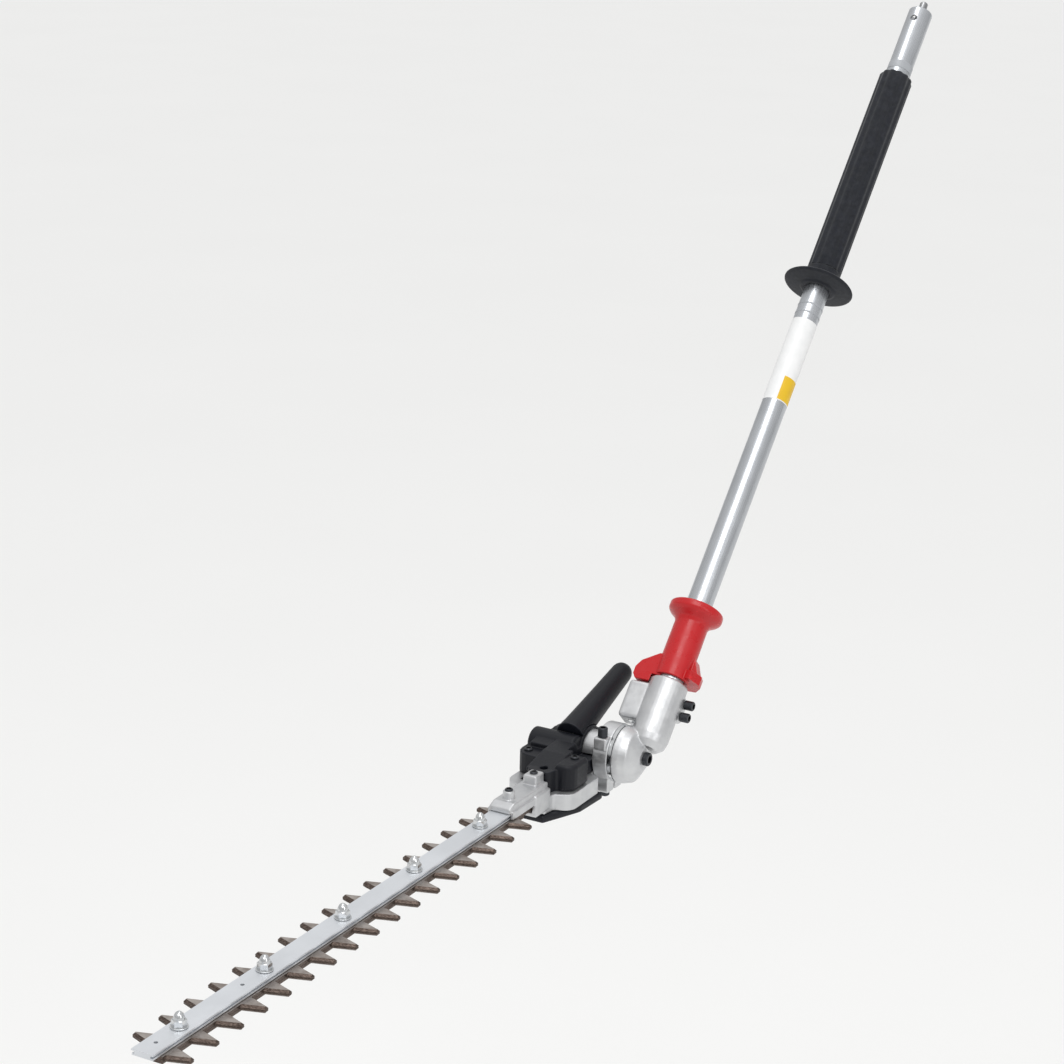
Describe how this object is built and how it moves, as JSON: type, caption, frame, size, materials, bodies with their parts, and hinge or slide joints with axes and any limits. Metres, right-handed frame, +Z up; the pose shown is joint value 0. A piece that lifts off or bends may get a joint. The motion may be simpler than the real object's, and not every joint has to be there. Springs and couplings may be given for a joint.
{
  "type": "pole hedge trimmer attachment",
  "caption": "Articulating hedge trimmer head with double-sided blades on a lockable hinge, at the end of a straight drive tube with a foam grip, ready to clip to a power pole.",
  "frame": {"origin": "centre of the tube's open coupling end", "axes": "+Z up with the blades level, +X from the blade tips back towards the handle, the tube climbing towards +X from the hinge to the origin, +Y to the left of the cutter bar seen from behind"},
  "size_m": [1.2273, 0.1323, 0.6588],
  "materials": {
    "cast_aluminium": "die-cast, satin, fine orange-peel skin",
    "anodised_aluminium": "drawn and anodised, satin, faint lengthwise lines",
    "zinc_steel": "zinc plated, semi-bright",
    "blade_steel": "ground cutting edges, oiled dark faces",
    "gear_steel": "machined, lightly oiled",
    "black_screw": "black oxide, semi-gloss",
    "black_plastic": "moulded, fine matt grain",
    "foam_rubber": "dense closed-cell foam, matt",
    "red_plastic": "moulded, semi-gloss",
    "bronze": "sintered bearing metal, oiled",
    "label_film": "printed film, satin, left blank"
  },
  "bodies": {
    "pole": {"joint_housing": "cast_aluminium", "clamp_screw_lower": "black_screw", "clamp_screw_upper": "black_screw", "hinge_end_bolt": "black_screw", "pole_tube": "anodised_aluminium", "shaft_bush_1": "bronze", "shaft_bush_2": "bronze", "shaft_bush_3": "bronze", "stop_band": "zinc_steel", "blank_label": "label_film", "depth_band": "label_film", "grip_sleeve": "foam_rubber", "grip_guard": "foam_rubber", "lock_spring": "gear_steel", "pinion_bearing": "gear_steel"},
    "release": {"release_sleeve": "red_plastic", "lock_plunger": "zinc_steel"},
    "drive": {"drive_shaft": "gear_steel", "drive_pinion": "gear_steel"},
    "hinge_shaft": {"hinge_gear": "gear_steel", "hinge_pinion": "gear_steel"},
    "head": {"hinge_hub": "cast_aluminium", "hub_bolt_upper": "black_screw", "hub_bolt_lower": "black_screw", "index_ring": "zinc_steel", "hinge_bearing_outer": "gear_steel", "hinge_bearing_inner": "gear_steel", "hinge_seal": "foam_rubber", "gear_case": "cast_aluminium", "gear_cover": "black_plastic", "sole_plate": "black_plastic", "rear_handle": "black_plastic", "crank_bearing_lower": "gear_steel", "crank_bearing_upper": "gear_steel", "guide_bar": "anodised_aluminium", "frame_screw_front": "black_screw", "frame_screw_rear": "black_screw", "cover_screw_right": "black_screw", "cover_screw_left": "black_screw", "sole_screw_front": "black_screw", "sole_screw_left": "black_screw", "sole_screw_rear": "black_screw", "cap_nut_1": "zinc_steel", "blade_bolt_1": "zinc_steel", "cap_nut_2": "zinc_steel", "blade_bolt_2": "zinc_steel", "cap_nut_3": "zinc_steel", "blade_bolt_3": "zinc_steel", "cap_nut_4": "zinc_steel", "blade_bolt_4": "zinc_steel", "cap_nut_5": "zinc_steel", "blade_bolt_5": "zinc_steel"},
    "crank": {"crank_gear": "gear_steel"},
    "upper_blade_body": {"upper_blade": "blade_steel"},
    "lower_blade_body": {"lower_blade": "blade_steel"}
  },
  "joints": [
    {"name": "head_tilt", "type": "hinge", "parent": "pole", "child": "head", "pos_m": [-0.56287, 0, -0.60998], "axis": [0, 1, 0], "range_deg": [-92, 43]},
    {"name": "release_slide", "type": "slide", "parent": "pole", "child": "release", "axis": [0.6782, 0, 0.7349], "range_m": [0, 0.008], "stiffness_N_per_m": 700, "springref_m": -0.006},
    {"name": "drive_spin", "type": "hinge", "parent": "pole", "child": "drive", "pos_m": [0, 0, 0], "axis": [0.6782, 0, 0.7349], "continuous": true},
    {"name": "hinge_shaft_spin", "type": "hinge", "parent": "pole", "child": "hinge_shaft", "pos_m": [-0.56287, 0, -0.60998], "axis": [0, 1, 0], "continuous": true},
    {"name": "crank_spin", "type": "hinge", "parent": "head", "child": "crank", "pos_m": [-0.56287, 0.055, -0.60998], "axis": [0, 0, 1], "continuous": true},
    {"name": "upper_blade_slide", "type": "slide", "parent": "head", "child": "upper_blade_body", "axis": [1, 0, 0], "range_m": [0, 0.015]},
    {"name": "lower_blade_slide", "type": "slide", "parent": "head", "child": "lower_blade_body", "axis": [1, 0, 0], "range_m": [-0.015, 0]}
  ],
  "couplings": [
    {"joint": "hinge_shaft_spin", "follows": "drive_spin", "ratio": -0.6},
    {"joint": "crank_spin", "follows": "drive_spin", "ratio": 0.25},
    {"joint": "lower_blade_slide", "follows": "upper_blade_slide", "ratio": -1}
  ]
}
